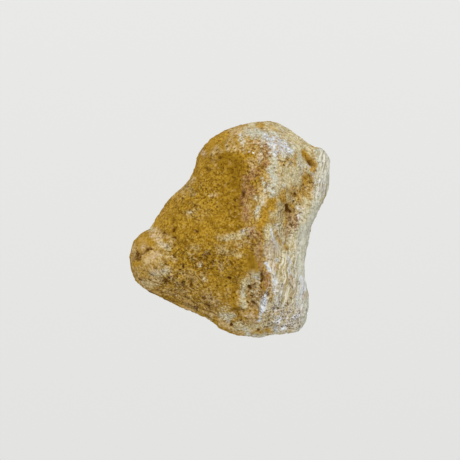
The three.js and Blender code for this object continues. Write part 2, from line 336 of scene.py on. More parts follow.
# Beige, where the ochre is thin.
STAINS["tan"] = [
    ([(-30, -10), (-27, -16)], 3.6, 0.55), ([(-31, -4), (-31, -7)], 2.6, 0.4),
    ([(-34, -6), (-34.6, -12), (-33, -17)], 1.5, 0.6), ([(-29, 0), (-27, -0.4)], 1.3, 0.6),
    ([(-28, -2.4), (-25, -3)], 1.3, 0.8), ([(-28.6, 0.6), (-27, -0.6)], 1.2, 0.8),
    ([(-26, 0.2), (-25.4, -1)], 0.9, 0.7), ([(-22, -2.6), (-21, -4)], 1.2, 0.5),
    ([(-30, -11.4), (-28, -10.4), (-27, -8)], 2.1, 0.8), ([(-10.4, -12.4)], 1.1, 0.5),
    ([(-9.6, -16), (-9, -18.4)], 1.3, 0.6), ([(-3.4, -12.4), (-3, -14.4)], 1.2, 0.5),
    ([(-31, -19), (-28.6, -19.8), (-27, -17.6), (-25.6, -18.4)], 1.7, 0.95),
    ([(-26, -20.6), (-20, -23.4), (-14, -26), (-8, -29)], 1.6, 0.4), ([(-19, -19), (-17, -21)], 1.6, 0.5),
    ([(-14, -16), (-12, -18)], 2, 0.45), ([(-22, -15), (-14, -20), (-6, -24)], 4.5, 0.32),
    ([(-8, -24), (-5, -26.6)], 1.9, 0.7), ([(-5, -24), (-3, -26)], 1.6, 0.4),
    ([(-15, -27.6), (-13, -28.4)], 1.4, 0.6), ([(3.2, -22.6), (3.4, -26.6)], 1.1, 0.6),
    ([(6.6, -30.8), (10, -32)], 1.6, 0.6), ([(7.6, -28.4), (8.4, -30)], 1.2, 0.6),
    ([(-0.6, -21.6), (-0.6, -24)], 1.2, 0.4), ([(-6, 27.6), (-5, 29.4)], 1.2, 0.85),
    ([(-4, 28), (-3, 28.6)], 1, 0.5), ([(-6, 25), (-5.4, 23.6)], 0.9, 0.4), ([(0, 29.6), (3, 29)], 1.5, 0.6),
    ([(-1, 32.6), (1.4, 31.6)], 1.3, 0.6), ([(1, 35), (6, 36.2), (11, 36.4)], 2.2, 0.9),
    ([(8, 38), (12, 37.6)], 1.2, 0.9), ([(7, 36.8), (9.6, 37.4)], 1.4, 1), ([(-2, 33.4), (0, 31.6)], 1, 0.4),
    ([(8, 24.6), (8.6, 22)], 1.4, 0.6), ([(8, 13), (9, 11)], 1.6, 0.5), ([(10.6, 15), (11, 12)], 1.4, 0.6),
    ([(12.4, 19), (12.4, 16)], 1.4, 0.45), ([(14, 23), (14, 18)], 1.3, 0.5),
    ([(10.4, 3), (9.6, 0.6)], 1, 0.5), ([(-33, -13.4), (-31, -14.6)], 1, 0.5),
    ([(12.6, 13), (12.4, 9)], 1.5, 0.6), ([(-6, -30), (-7, -32)], 1.4, 0.7),
    ([(-22, -14), (-21, -17)], 1.6, 0.6), ([(-6, -24), (-4, -26)], 1.6, 0.5),
    ([(6.4, 9), (7.4, 6)], 2, 0.65), ([(6.4, 4), (6.8, 2)], 1.4, 0.45), ([(3.6, -6), (6.2, -4)], 1.5, 0.6),
    ([(-6.6, 12), (-5, 12.4)], 0.8, 0.6), ([(-20, 12.2), (-15.6, 16.4), (-13.4, 18)], 1.6, 0.5),
    ([(6.6, 31), (10, 30.6), (11, 28)], 2.1, 0.6), ([(14, 36.6), (20, 34), (26, 30.8)], 2, 1),
    ([(20, 24), (19.4, 22)], 1.4, 0.5), ([(20, 18), (24, 17), (25, 20)], 2.4, 0.5),
    ([(28, 15), (29.6, 12.6)], 1.6, 0.7), ([(20, 13), (22, 11), (25, 13)], 2.4, 0.6),
    ([(22, 6), (21, 0)], 2, 0.6), ([(20, 11), (22, 12)], 1.5, 0.7), ([(20, 8.6), (20.4, 7.4)], 1.4, 0.7),
    ([(4, -29.6), (5, -31)], 1.2, 0.5), ([(8, -15.6), (7, -16.4)], 1.2, 0.8),
    ([(-8, 6), (-11, 4)], 2.2, 0.3), ([(-12.6, 8), (-10.4, 6.6)], 1.6, 0.35),
    ([(-19, -21.6), (-16, -22.8)], 1.3, 0.5), ([(15, 5), (18.4, 3), (18, 8)], 2.4, 0.5),
    ([(-3, -33), (2, -36.4), (8, -37.6)], 1.4, 0.7), ([(-12, 26.8)], 1.2, 0.4),
    ([(-2, -26.4), (0, -28)], 1.2, 0.4), ([(-7.4, -23), (-5, -25)], 1.5, 0.55),
    ([(9, -19), (9, -22), (10, -27)], 2.2, 0.95), ([(9, -1), (10, -6), (11, -11)], 1.6, 0.5),
    ([(-16, -1), (-16.6, 1)], 0.9, 0.3), ([(-24.6, 5), (-23, 7)], 1.2, 0.4),
    ([(-18.6, 11.4), (-17, 13)], 1.5, 0.6), ([(-16.4, -15.6), (-15, -17)], 1.5, 0.5),
    ([(-24.4, -2.4), (-22.6, -2)], 1, 0.6), ([(-21, -9.6), (-19.6, -10.6)], 1.1, 0.5),
    ([(26, 16.6), (25, 15)], 1.3, 0.6), ([(-7, -22), (-7.4, -24)], 1, 0.4),
    ([(12, -31), (14, -33)], 1.8, 0.6), ([(7, -33.6), (12, -33.4)], 1.4, 0.5),
    ([(22, 16.4), (22.4, 14.6)], 1.3, 0.5), ([(12, 32), (12, 30)], 1.4, 0.7),
]
# Straw-coloured limestone.
STAINS["straw"] = [
    ([(-3, -3.2), (0, -2.8), (3, -2.6), (5.4, -1.4)], 1.3, 0.8), ([(-1, -5.6), (3, -5)], 1.6, 0.35),
    ([(2, -8), (3.6, -9)], 1.3, 0.6), ([(-4, -7), (-1, -8.4)], 1.5, 0.55),
    ([(-25, -9.4), (-24.6, -12)], 1.6, 0.45), ([(-14, -6.4), (-11.6, -7)], 1.7, 0.4),
    ([(-15, 5.4), (-13, 6)], 1.6, 0.45), ([(-22.4, -7.4), (-22, -10)], 1.4, 0.55),
    ([(-14.6, -9), (-13, -11)], 1, 0.4), ([(15, 24), (19, 24), (22, 22)], 2, 0.6),
    ([(18, -12), (18.6, -18)], 1.4, 0.6), ([(4.4, -18.4), (4.2, -20.6)], 1.3, 0.5),
    ([(20, -26), (20, -31)], 1.6, 0.6), ([(17.4, 9), (15.4, 4.4)], 1.5, 0.6),
    ([(18.2, 9), (18, 2)], 1.8, 0.85), ([(23.6, 22), (24.6, 16.6)], 1.4, 0.7),
    ([(16, 36), (21, 33)], 1.2, 0.7),
]
# Cream limestone.
STAINS["cream"] = [
    ([(15, 25), (16.4, 20), (15.6, 16)], 2.2, 0.5), ([(24, 28.6), (24.6, 23), (23.4, 18.4)], 2.2, 1.1),
    ([(20, 25), (20.4, 20.6), (20, 17)], 2.4, 0.8), ([(26, 29), (31, 28.6)], 1.5, 0.8),
    ([(27, 24.6), (28, 22)], 1.2, 1), ([(31.6, 26), (30.6, 28)], 1, 0.8),
    ([(30.6, 21), (28.6, 21.4)], 1.5, 1), ([(25.6, 28), (26.4, 25)], 1.3, 1),
    ([(12, 12), (10.6, 8), (10, 3.6)], 1.6, 0.4), ([(14, 37.6), (17, 36.4), (22, 33.2), (28, 30)], 1.5, 0.8),
    ([(18, 37.4), (22, 35), (26, 32)], 1.3, 0.9), ([(14.8, 0), (15, -4), (15, -9)], 1.9, 0.95),
    ([(20, -6), (20, -14), (21, -20)], 3, 1.2), ([(21, -24), (20, -32), (18, -35)], 3.8, 1.2),
    ([(26.4, 9), (25.4, 3), (23.6, -4)], 2.2, 1.1), ([(16, -12), (17, -20)], 2.2, 0.9),
    ([(6.6, -18.6), (5.4, -21), (5, -24), (5.4, -27.6)], 1.2, 0.85),
    ([(8, -21.8), (9.4, -22.6), (10.8, -22)], 0.3, 0.9), ([(8.4, -23.4), (9.8, -24.4)], 0.3, 0.8),
    ([(10, -20.4), (10.6, -21.6)], 0.3, 0.8), ([(8.6, -25.4), (10.2, -26.4)], 0.35, 0.7),
    ([(8.8, -16.8), (10.4, -16.4)], 1.25, 0.75), ([(9, -18), (9.6, -20)], 1.2, 0.5),
    ([(-25, -5.2), (-22.4, -5.8)], 1.5, 0.6), ([(-1, -3.4), (2, -3.6), (5, -1.4)], 1.2, 0.45),
    ([(-29, -0.2), (-27.4, -0.2)], 0.9, 0.5), ([(-3, -7.4), (-1.6, -7.8)], 1.1, 0.25),
    ([(-24.8, -9.4), (-24, -12.8)], 1.8, 0.35), ([(-31, -18.6), (-29, -20), (-26.4, -19.6)], 1.2, 0.42),
    ([(-27, -16), (-23, -15)], 1.5, 0.7), ([(12, -33), (13.4, -30.6), (14.4, -28)], 1.5, 0.8),
    ([(14.8, -28), (15.4, -25), (17.6, -23)], 1.6, 1.1), ([(3, -34.8), (9, -35), (14.6, -34.8)], 1.9, 0.7),
    ([(8, 34.6), (12, 34.4)], 1.4, 0.5), ([(-3, -30.8), (1, -31)], 1.6, 0.6),
    ([(5.6, -19.6), (5.4, -21)], 1.1, 0.9), ([(11, 24), (11.6, 27)], 1.2, 0.5),
    ([(30, 11), (31, 14)], 1, 0.6), ([(29.6, 26.6), (30.6, 25)], 1.2, 0.7),
    # Painted light: the second stroke here pales a dent that the lamps leave in shade.
    ([(30, 21), (30.4, 18)], 1.1, 0.8), ([(26, 23), (25.6, 20)], 1.3, 0.7),
    ([(25.8, 26.4), (26.2, 25.4)], 1, 0.6), ([(33, 15), (31.8, 9.6), (29.6, 4.4), (28, -1)], 2, 1.2),
    ([(21, 12.6), (22.8, 12)], 1.7, 0.85), ([(-1, -28.4), (-3, -28.6)], 1, 0.5),
    ([(17, 11.4), (14, 12.4)], 1.2, 0.5), ([(14.8, 6), (17, 5.4)], 1.1, 0.5),
    ([(18, 1), (18, -6)], 1.8, 0.95), ([(18, 9), (18, 3)], 1.5, 0.45), ([(18, 15.4), (18, 13)], 1.1, 0.7),
    ([(7.6, 38), (12, 38)], 1.2, 0.8), ([(16.6, -3), (17, -9)], 2, 1.3), ([(7, 33.6), (6.4, 32)], 0.8, 0.25),
    ([(31.8, 24), (31.8, 20)], 1, 0.7),
]
# Greenish-grey limestone.
STAINS["grey"] = [
    ([(33.6, 28), (34.6, 25), (34, 20), (33.4, 15)], 2.2, 1.4),
    ([(33, 15), (31.8, 9.6), (29.6, 4.4), (28, -1)], 1.9, 0.8),
    ([(27, 0), (26, -6), (25.6, -14), (26.4, -22), (26.6, -30), (25, -35)], 2.1, 1.2),
    ([(4.4, 33.6), (5, 31)], 1.3, 0.48), ([(6.4, 35), (10, 35), (13, 34)], 1.4, 0.8),
    ([(6, -37.6), (10, -38.6), (13.4, -37.6)], 0.8, 0.7), ([(9, 38), (11, 37.8)], 0.8, 0.5),
    ([(13.6, 31), (14.6, 29.6)], 1, 0.6), ([(13.8, 29), (14, 27)], 0.9, 0.6),
    ([(8, 33.4), (10.4, 33.2)], 1.2, 0.6), ([(16, 26.4), (16.6, 22)], 1.4, 0.65),
    ([(9, 11.6), (11, 10.6)], 1.1, 0.4), ([(13, 17), (12.6, 14)], 1.2, 0.55),
    ([(-1, 30.4), (-0.6, 28.8)], 1, 0.35), ([(5.2, 30), (5.4, 28)], 0.8, 0.4),
    ([(15, 35), (20, 32), (23.4, 29.6)], 1.2, 0.6), ([(19.6, 26.6), (21, 26.2)], 1, 0.6),
    ([(15.6, -3), (16, -5)], 1.1, 0.6), ([(17.6, 36.4), (19.6, 35.4)], 0.9, 0.5),
    ([(22, 27), (22.4, 25.4)], 0.9, 0.5), ([(22, -15), (22.4, -17.4)], 1, 0.6),
    ([(15.4, 22), (16.4, 17.4), (15.4, 14)], 1.7, 0.75), ([(13.8, 15.6), (15.4, 13)], 1.5, 0.6),
    ([(19.4, 15.6)], 1, 0.6), ([(10.4, 8), (10, 5)], 1, 0.6), ([(-14.4, 6)], 1, 0.4),
    ([(-15, 15), (-13, 12.8)], 1.4, 0.3), ([(-3, -31), (-1, -31.4), (1, -31.2)], 1.2, 0.5),
    ([(5, -35.8), (7, -36.6)], 0.9, 0.6), ([(10.5, -18.2), (10.8, -19.4)], 0.7, 0.6),
    ([(22.2, -2), (21.8, -4)], 0.9, 0.6), ([(21.6, -8), (21.8, -15)], 1.1, 0.6),
    ([(-9.6, -16.6), (-9.2, -18)], 0.9, 0.4), ([(-10.4, -12.8)], 0.8, 0.45),
    ([(26.4, 7), (27, 5.6)], 0.9, 0.5), ([(17.6, -20), (18.4, -27)], 1.6, 0.7),
    ([(25.4, 26), (25.8, 23)], 1.1, 0.5), ([(24.6, -4), (24, -12)], 1.4, 0.6),
    ([(14, -30), (16, -32)], 1, 0.5), ([(12, 33.4), (12, 30.6)], 1.1, 0.7),
    ([(12, 18.6), (12.6, 17)], 1, 0.5), ([(12.4, 12), (11.6, 9)], 0.9, 0.35),
    ([(32.2, 25), (31.8, 17)], 1, 0.9),
]
# Bluish-white chalk.
STAINS["chalk"] = [
    ([(13, 33.4), (15.4, 32.6)], 1.1, 0.7), ([(15, 30.8), (15.8, 28.8), (16.4, 27.4)], 1.5, 0.65),
    ([(17.6, 31), (19.4, 28.4)], 1.6, 0.65), ([(20.4, 29.4), (21.8, 28)], 1.1, 0.85),
    ([(17, 33), (20, 31)], 1, 0.55), ([(10.2, 7.6), (10, 5.4)], 0.7, 0.2),
    ([(14.4, 0), (14.8, -2), (15.6, -4.8)], 0.5, 0.6),
    ([(12.8, -11.8), (13.6, -13), (14.8, -14.6)], 0.58, 0.8), ([(17, -11)], 0.9, 0.75),
    # Painted highlight: both strokes here pale slopes that the lamps leave in shade.
    ([(27.8, 23.4), (28.8, 22.4), (30.2, 21)], 0.38, 0.6), ([(16, -3), (16.4, -7)], 1.3, 0.6),
    ([(16.2, -16), (16.4, -19), (16.4, -22)], 0.85, 0.65), ([(16.4, -23), (16.8, -26)], 0.6, 0.5),
    ([(13.9, -21.4), (13, -25)], 0.5, 0.7), ([(12.6, -25), (12, -28.8)], 1.1, 1),
    ([(11.6, -30), (10.6, -33)], 0.6, 0.65), ([(5, -21), (4.8, -23.6)], 0.8, 0.3),
    ([(24.6, 8), (25.8, 5), (25, 2.6)], 0.9, 0.4), ([(21.4, -10), (21.6, -12)], 0.8, 0.8),
    ([(21.2, -13.6), (22.4, -18), (23.8, -23), (24.4, -28)], 0.6, 0.55),
    ([(25.6, -17), (26.4, -20), (26.4, -24)], 0.9, 0.7), ([(9.2, -17.2), (10.2, -17.6)], 0.8, 0.45),
    ([(-22.6, -14.6), (-25, -15), (-27, -15.6)], 0.6, 0.3), ([(-0.4, -33)], 0.8, 0.6),
    ([(17.2, -33.4), (18, -32)], 0.8, 0.85), ([(17, -35.4), (16.8, -37)], 0.6, 0.85),
    ([(19.2, -35.4), (20, -34.4)], 0.7, 0.75), ([(24.4, -31), (23.2, -31.8)], 0.7, 1),
    ([(21, -33.4), (23.4, -33.4)], 1, 0.4), ([(16.8, 19), (17.4, 18)], 0.8, 0.3),
    ([(14.4, 15), (15.4, 13.6)], 0.9, 0.25), ([(3.6, 34)], 0.5, 0.6), ([(4.6, -0.8), (6, 0.2)], 0.8, 0.4),
]
# Clear yellow-orange ochre.
STAINS["orange"] = [
    ([(-1, 34.2), (-4, 32.6), (-7, 30.4)], 1.5, 0.85), ([(-10.6, 24), (-10, 20.6)], 1.4, 0.6),
    ([(-26, 2), (-22, 7), (-18, 12)], 1.5, 0.8), ([(10, 37.8), (12.4, 37.4)], 1, 0.7),
    ([(15, 37.2), (17, 36), (18.6, 35)], 0.7, 0.6), ([(23.6, 27.6), (24, 26), (23.5, 24.6)], 0.5, 0.7),
    ([(18.6, 24.6), (19.4, 22.8), (21, 25.4), (23.2, 25.4), (23.6, 23)], 0.8, 0.6),
    ([(26.8, 28), (28.2, 26), (29.5, 23.6), (30, 21.6)], 0.95, 1.15), ([(31, 24.4), (31.4, 23)], 0.6, 0.6),
    ([(26.6, 20.6), (27, 18), (27.4, 16)], 0.8, 0.7), ([(29.9, 19.6), (29.7, 17), (29.5, 14.6)], 0.8, 0.9),
    ([(28.6, 17.6), (28.4, 19.4)], 1, 0.5), ([(19.2, 13.4), (19.6, 10.6)], 1.1, 0.8),
    ([(22, 13), (25, 11.6), (25.4, 10)], 1.3, 0.65), ([(16, 10.4), (15, 9), (15.6, 7.6)], 0.95, 0.85),
    ([(13, 6), (12.4, 3.8), (11, 2)], 1.2, 0.95), ([(15, 3), (17, 2.4)], 0.9, 0.4),
    ([(16.6, -1), (17.4, -3.4), (19.4, -5.4), (20.6, -7)], 0.9, 0.7),
    ([(15.2, -23.4), (15, -25.4)], 0.7, 0.7), ([(13, -16.4), (13.8, -18.4), (13, -20.6)], 1.35, 0.85),
    ([(-33.8, -12.6)], 1.2, 0.9), ([(-32.6, -4.6), (-30, -3.4), (-28.6, -4.6)], 1.5, 0.5),
    ([(2.6, -23), (2.6, -26.6)], 1, 0.5), ([(13, -35.8), (15, -36.6)], 0.7, 0.7),
    ([(26.8, -25), (27.2, -23)], 0.55, 0.6), ([(20.8, -27), (21, -29.4)], 0.6, 0.6),
    ([(-1, 14), (-8, 19)], 3, 0.3), ([(17, -13), (17.6, -14.4)], 0.8, 0.5), ([(-15, 2), (-12, -2)], 2, 0.4),
    ([(3, -16), (6, -17)], 1.4, 0.4), ([(1, -13), (3, -15)], 1.6, 0.5),
    ([(-25.4, 1.4), (-23.8, 0)], 1.2, 0.6), ([(-23.6, 3.4), (-21.6, 1)], 1.2, 0.6),
    ([(27.4, 27), (28.2, 25.6)], 0.5, 0.8), ([(5, -33.4), (9, -33.8)], 0.9, 0.4),
    ([(20, -19), (20.4, -18)], 0.6, 0.5), ([(20.4, 3), (20.4, 0)], 0.9, 0.6),
    ([(31, 29.4), (29.4, 30)], 0.7, 0.5),
]
# Pinkish stain.
STAINS["pink"] = [
    ([(9, 31), (11.4, 31.4)], 1, 0.5), ([(11.6, 28.6), (10.8, 25)], 1, 0.6),
    ([(9.4, 22.6), (8.4, 20)], 1.1, 0.5), ([(15.6, -5), (16.4, -9)], 1.6, 0.6),
    ([(22, -17), (23, -20), (23.6, -23.6)], 0.9, 0.6), ([(19.8, -21), (20.2, -25)], 0.9, 0.4),
    ([(17, -29), (19, -31)], 1.5, 0.55), ([(20.6, -33), (22, -34.6)], 1.2, 0.6), ([(14.6, -30.6)], 0.9, 0.6),
    ([(22, -28)], 0.8, 0.6), ([(17, -20), (18, -26)], 1.3, 0.45), ([(22.4, 3.4), (22, 0)], 1.1, 0.6),
    ([(-9.6, 28), (-9, 27)], 0.9, 0.6), ([(-8.4, -8.4)], 0.9, 0.5), ([(-12, -13), (-10.4, -12)], 1.1, 0.35),
    ([(7, -31), (9, -32.6)], 1.4, 0.5), ([(5.6, 4), (6, 8)], 1.6, 0.4),
    ([(-23, -22.4), (-14, -26)], 1.1, 0.25), ([(-28, -10.4), (-26.4, -9.4)], 1.2, 0.5),
    ([(-31.4, -6.4), (-29.6, -6.2)], 0.8, 0.5), ([(-28.4, -2.4), (-25.6, -3)], 0.8, 0.5),
    ([(-25.4, -5.2), (-23, -5.4)], 0.9, 0.5), ([(-28.6, -15), (-24, -15)], 1, 0.4),
    ([(25, 7), (27.4, 8)], 0.9, 0.4), ([(13.6, -6), (13.4, -9)], 1.2, 0.6),
    ([(14.6, -10.6), (16, -14)], 1.2, 0.65), ([(25.4, -29), (24.6, -34.6)], 1.3, 0.55),
    ([(8, 0.4), (7.4, -2)], 1.3, 0.65),
]
# Red-brown stain.
STAINS["rust"] = [
    ([(12.6, 30.6), (13.4, 28.6), (13, 26)], 1, 0.7), ([(13, 24), (11.6, 22), (9.6, 20.4)], 1.4, 0.72),
    ([(9, 20.4), (6, 18)], 1.7, 0.76), ([(6, 16), (7.4, 14), (6, 13)], 2.1, 0.85),
    ([(4.4, 12), (4.6, 9.6)], 1, 0.95), ([(5.6, 9), (6, 4)], 1.6, 0.7),
    ([(10.6, -1.4), (11, -4), (10.4, -9.6)], 1.1, 0.65), ([(9, -3), (8, -6.4)], 1.1, 0.55),
    ([(8.4, 0.4), (8, -1.6)], 0.8, 0.75), ([(10.8, -11), (11.4, -15)], 0.8, 0.85),
    ([(11, -21), (10, -25)], 1.1, 0.42), ([(13.4, -16.8), (13.8, -20)], 1.4, 0.85),
    ([(20.4, -1), (20.4, -3.4)], 0.8, 0.5), ([(22.2, -16.6), (23, -19)], 0.4, 0.6),
    ([(21.6, 6), (22.4, 4)], 1, 0.5), ([(19.8, 34.6)], 0.7, 0.6), ([(27, 8.4), (25, 7.4)], 0.4, 0.4),
    ([(17.3, -34.7)], 0.7, 0.7), ([(20.8, -31.6)], 0.6, 0.7), ([(18.4, -29.2)], 0.5, 0.7),
    ([(16, -31.6)], 0.5, 0.7), ([(22.6, -26.4)], 0.4, 0.5), ([(-31, -17), (-32, -18)], 0.5, 0.5),
    ([(23, 14), (22.6, 11)], 0.9, 0.35), ([(24, 12.6)], 0.9, 0.5), ([(24, 5), (23.8, 1)], 1.2, 0.6),
]
# Dark brown to black, in pits and cracks: their grit, with painted shade.
STAINS["dark"] = [
    ([(-32.8, -8.2), (-33, -10.4)], 0.95, 0.9), ([(-34.6, -10.6), (-34.2, -8.6)], 0.7, 0.55),
    ([(-31.6, -8.4), (-29.8, -7.8), (-28.6, -6.8)], 0.6, 0.85), ([(-23.6, -1)], 0.6, 0.8),
    ([(-20, 0), (-20, -0.6)], 0.39, 1.4), ([(-20, -3)], 0.35, 1.5),
    ([(-12.4, -0.4), (-11.8, -0.9)], 0.3, 1.1), ([(-9.4, -8.8), (-8.4, -9.2)], 0.26, 1.1),
    ([(-7.6, -8.2), (-7.2, -9)], 0.26, 1.1), ([(-8.2, -10.8)], 0.3, 1),
    ([(-17, -13), (-16.6, -14)], 0.28, 1.6), ([(-18, -14.5), (-17.2, -14.6)], 0.24, 1.2),
    ([(-23.9, -18.4), (-23, -18.3), (-23.2, -19.5)], 0.33, 1.6), ([(-21.8, -17.2)], 0.4, 1.6),
    ([(-25.9, -21.5)], 0.45, 1.8), ([(-28.2, -22.2), (-27, -22.8)], 0.35, 1.4), ([(-16.7, -19.5)], 0.5, 1.9),
    ([(-14.2, -19.7)], 0.36, 1.7), ([(-18.7, -19.2)], 0.35, 1.4),
    ([(-21.8, -25.2), (-20.6, -25.6)], 0.35, 1.2), ([(-12.6, -27.8), (-11.8, -28.4)], 0.32, 1.2),
    ([(-0.4, -17.4), (0.2, -17.8)], 0.47, 1.5), ([(4.2, -12.3), (4.8, -12.3)], 0.28, 1.5),
    ([(1.2, -24.6)], 0.35, 1.3), ([(4.6, 13.6), (4.8, 12.4)], 0.54, 1.1),
    ([(7.2, -20.6), (7.9, -21.2)], 0.35, 1.3), ([(8.8, -20.2), (9.3, -19.4)], 0.26, 1),
    ([(7.3, -23.3), (8.3, -24)], 0.25, 1.1), ([(8.3, -26.4), (9, -27.2)], 0.28, 1.2),
    ([(11.3, -16.4), (11.5, -17)], 0.35, 1.6), ([(11.7, -18), (11.4, -19)], 0.25, 1.4),
    ([(28.6, 24.4), (29.2, 23.4)], 0.42, 1.2), ([(27, 27.2), (28.2, 25.4)], 0.6, 0.36),
    ([(21, 8.4), (21.2, 6.8), (22, 6.6)], 0.38, 1.5), ([(22.2, 2.4), (22.2, 1.6)], 0.31, 1.4),
    ([(22, 4.4)], 0.31, 1.1), ([(24.2, 12.6)], 0.36, 1.3), ([(23, 10.3)], 0.34, 1), ([(25, 10)], 0.28, 0.9),
    ([(26.2, 20.4)], 0.28, 0.9), ([(27, 19.2)], 0.25, 1.1), ([(26.6, 17.6)], 0.22, 1.1),
    ([(27.4, 21.4)], 0.25, 1), ([(26.8, 15.8)], 0.25, 1), ([(29.8, 17.6), (29.6, 16.8)], 0.22, 0.9),
    ([(25, 6), (26.4, 6.2)], 0.22, 0.9), ([(23.4, 5.4), (24.4, 5.8)], 0.22, 0.9),
    ([(24.2, 4.4), (24.4, 3.4)], 0.22, 0.8), ([(28.8, 19.2)], 0.31, 1.3), ([(27.3, 15.2)], 0.31, 1.1),
    ([(18.5, 24.8)], 0.28, 1), ([(20, 23.2)], 0.31, 1.3), ([(13, 23.7)], 0.31, 1.1),
    ([(12.8, 26.5), (13.7, 25.8)], 0.28, 1.1), ([(19.2, -5.2)], 0.39, 1.4),
    ([(20.4, -16), (21.4, -18.2)], 0.22, 0.7), ([(21.6, -18.8), (22.8, -21)], 0.22, 0.7),
    ([(24, -29), (25.4, -30.6)], 0.22, 0.6), ([(18.7, -19.6), (18.7, -20.6)], 0.28, 1.4),
    ([(17.3, -28.4)], 0.35, 1.2), ([(16, -29.6)], 0.31, 1.1), ([(22, -24.5)], 0.28, 1.1),
    ([(21.3, -29.5)], 0.36, 1.6), ([(4.6, -32.4), (4, -33.2)], 0.26, 1), ([(0.4, -34.6)], 0.4, 1.5),
    ([(17.4, -34.6)], 0.3, 1.5), ([(13.6, -35.2)], 0.25, 1.2), ([(15.6, -33.6)], 0.22, 1.2),
    ([(10, -36.7)], 0.36, 1.7), ([(-8, -27), (-7, -28.6)], 0.31, 1.3), ([(-5, -28)], 0.31, 1.3),
    ([(-5.7, -24)], 0.25, 1.4), ([(4, -29)], 0.31, 1.3),
    ([(-29.4, -15.2), (-28.4, -15.8), (-27.4, -16.6)], 0.28, 0.62), ([(-30.7, -15)], 0.35, 0.8),
    ([(-33.6, -15.6)], 0.35, 0.7), ([(-32.6, -17.2), (-31.4, -18.2)], 0.35, 0.7),
    ([(-23.8, -10.6)], 0.3, 0.9), ([(-23.2, -12.6)], 0.35, 0.8), ([(-22.6, -6.6)], 0.35, 0.8),
    ([(13, -33)], 0.36, 1.7), ([(18.6, -26.4)], 0.22, 1.3), ([(20.6, -26.8)], 0.28, 1.2),
    ([(18, -30.6)], 0.22, 1.1), ([(19.4, -32.4)], 0.25, 1.2), ([(22.6, -29.8)], 0.22, 1),
    ([(15.4, -34.6)], 0.25, 1.1), ([(17.8, -24)], 0.22, 1), ([(22.4, -33)], 0.25, 1),
    ([(20.6, -34.8)], 0.25, 1), ([(12.6, -34.8)], 0.25, 1), ([(14.4, -32.6)], 0.28, 1.4),
    ([(16.2, -28), (15.8, -29)], 0.3, 1), ([(19.8, -27)], 0.28, 1), ([(20.4, -29)], 0.28, 1),
    ([(24, -25.6)], 0.25, 1), ([(-18, -4.6)], 0.31, 1.1), ([(-16.6, -8.6)], 0.31, 0.9),
    ([(14, -22.6), (14, -24)], 0.28, 1.1),
]
# Single white grains of spar.
STAINS["spar"] = [
    ([(25.8, -18), (26, -22), (26, -30)], 1.5, 0.42), ([(17.8, -22.6), (17.6, -27)], 1.4, 0.45),
    ([(16.6, -29), (19.6, -30), (20, -34)], 1.5, 0.4), ([(24, -29.6), (25.6, -32)], 1.3, 0.42),
    # Painted light: the first stroke here pales the same shaded dent as the cream one.
    ([(26, 23.4), (26, 20.4)], 1.1, 0.36), ([(24.4, 8), (25.6, 7.4), (27, 7.8)], 0.3, 0.55),
    ([(24.8, 5), (25.2, 3.4)], 0.5, 0.5), ([(25.6, 6), (26.6, 5)], 0.3, 0.5),
    ([(17, 1.6), (17.4, -2)], 1.1, 0.38), ([(19, -36), (21, -35.4)], 1.4, 0.4),
    ([(14.4, -34), (17.6, -34)], 1.1, 0.4), ([(15.4, -3), (16, -4.6)], 0.9, 0.4),
    ([(16, -21.4), (16.4, -23)], 0.9, 0.38), ([(33.4, 26), (33.6, 20)], 1.3, 0.34),
    ([(33, 17), (32.4, 13)], 1.6, 0.5), ([(7.3, 28.2)], 0.35, 0.7), ([(8.7, 27.7)], 0.4, 0.75),
    ([(3.7, 33.8)], 0.3, 0.9), ([(9.6, 28.4)], 0.3, 0.6), ([(24, -31.2), (23.6, -31.6)], 0.5, 1.7),
    ([(17.8, -33)], 0.45, 1.5), ([(19.5, -35)], 0.45, 1.4), ([(21, -33.4), (22.4, -36)], 1.2, 0.42),
    ([(30, 20.4), (30.4, 19)], 0.7, 0.4), ([(25.8, 26.4)], 0.9, 0.4), ([(12, -27.4)], 0.45, 0.8),
    ([(12.6, -12)], 0.45, 0.9), ([(14.8, -14.4)], 0.4, 0.8), ([(17, -36.4)], 0.4, 1.4),
    ([(21.4, -10)], 0.4, 0.8), ([(23.4, -17)], 0.35, 0.8), ([(15.6, 29.6)], 0.5, 0.8),
    ([(21, 28.6)], 0.5, 0.8), ([(24.8, 4)], 0.4, 0.8), ([(14.8, -1.4)], 0.4, 0.8), ([(16.2, -20)], 0.4, 0.7),
]
cover = {name: covered(strokes) for name, strokes in STAINS.items()}

# Each of the pale ones is set in a fainter and wider bed of the one before it.
BED_WIDER, BED_SHARE = 1.4, 0.6
for bed, bedded in (("grey", "chalk"), ("cream", "grey"), ("straw", "cream"), ("tan", "straw")):
    cover[bed] = np.maximum(cover[bed], covered(STAINS[bedded], BED_WIDER) * BED_SHARE)

# Out of the eye's view the same rind goes on by chance: patches of each stain, with more of
# the pale ones towards the rim's side. For each: the size of its patches, the noise at which
# they begin and are full, what SLANT_REACH to the right adds to it, and the strength.
PATCH_SHIFT = np.array((7.3, 3.1, 5.7))  # between one stain's noise and the next one's
SLANT_REACH = 100
PATCHES = {
    "umber": (8.0, 0.05, 0.40, -1.2, 0.7),
    "tan": (7.0, 0.00, 0.35, 0.0, 0.6),
    "straw": (6.0, 0.15, 0.45, 0.6, 0.7),
    "cream": (11.0, 0.00, 0.30, 1.5, 0.9),
    "grey": (8.0, 0.15, 0.40, 1.2, 0.9),
    "chalk": (5.0, 0.35, 0.55, 1.0, 0.8),
    "orange": (8.5, 0.20, 0.50, -0.5, 0.7),
    "pink": (6.0, 0.30, 0.55, 0.6, 0.6),
    "rust": (6.5, 0.30, 0.55, 0.0, 0.7),
    "dark": (2.4, 0.45, 0.65, 0.0, 0.8),
}
for number, (name, (size, low, high, slant, strength)) in enumerate(PATCHES.items()):
    shift = Vector(number * PATCH_SHIFT)
    chance = np.array([noise.noise(Vector(place) / size + shift) for place in points])
    patch = rise(chance + points[:, 0] / SLANT_REACH * slant, low, high) * strength
    cover[name] = np.maximum(cover[name], patch * hidden)

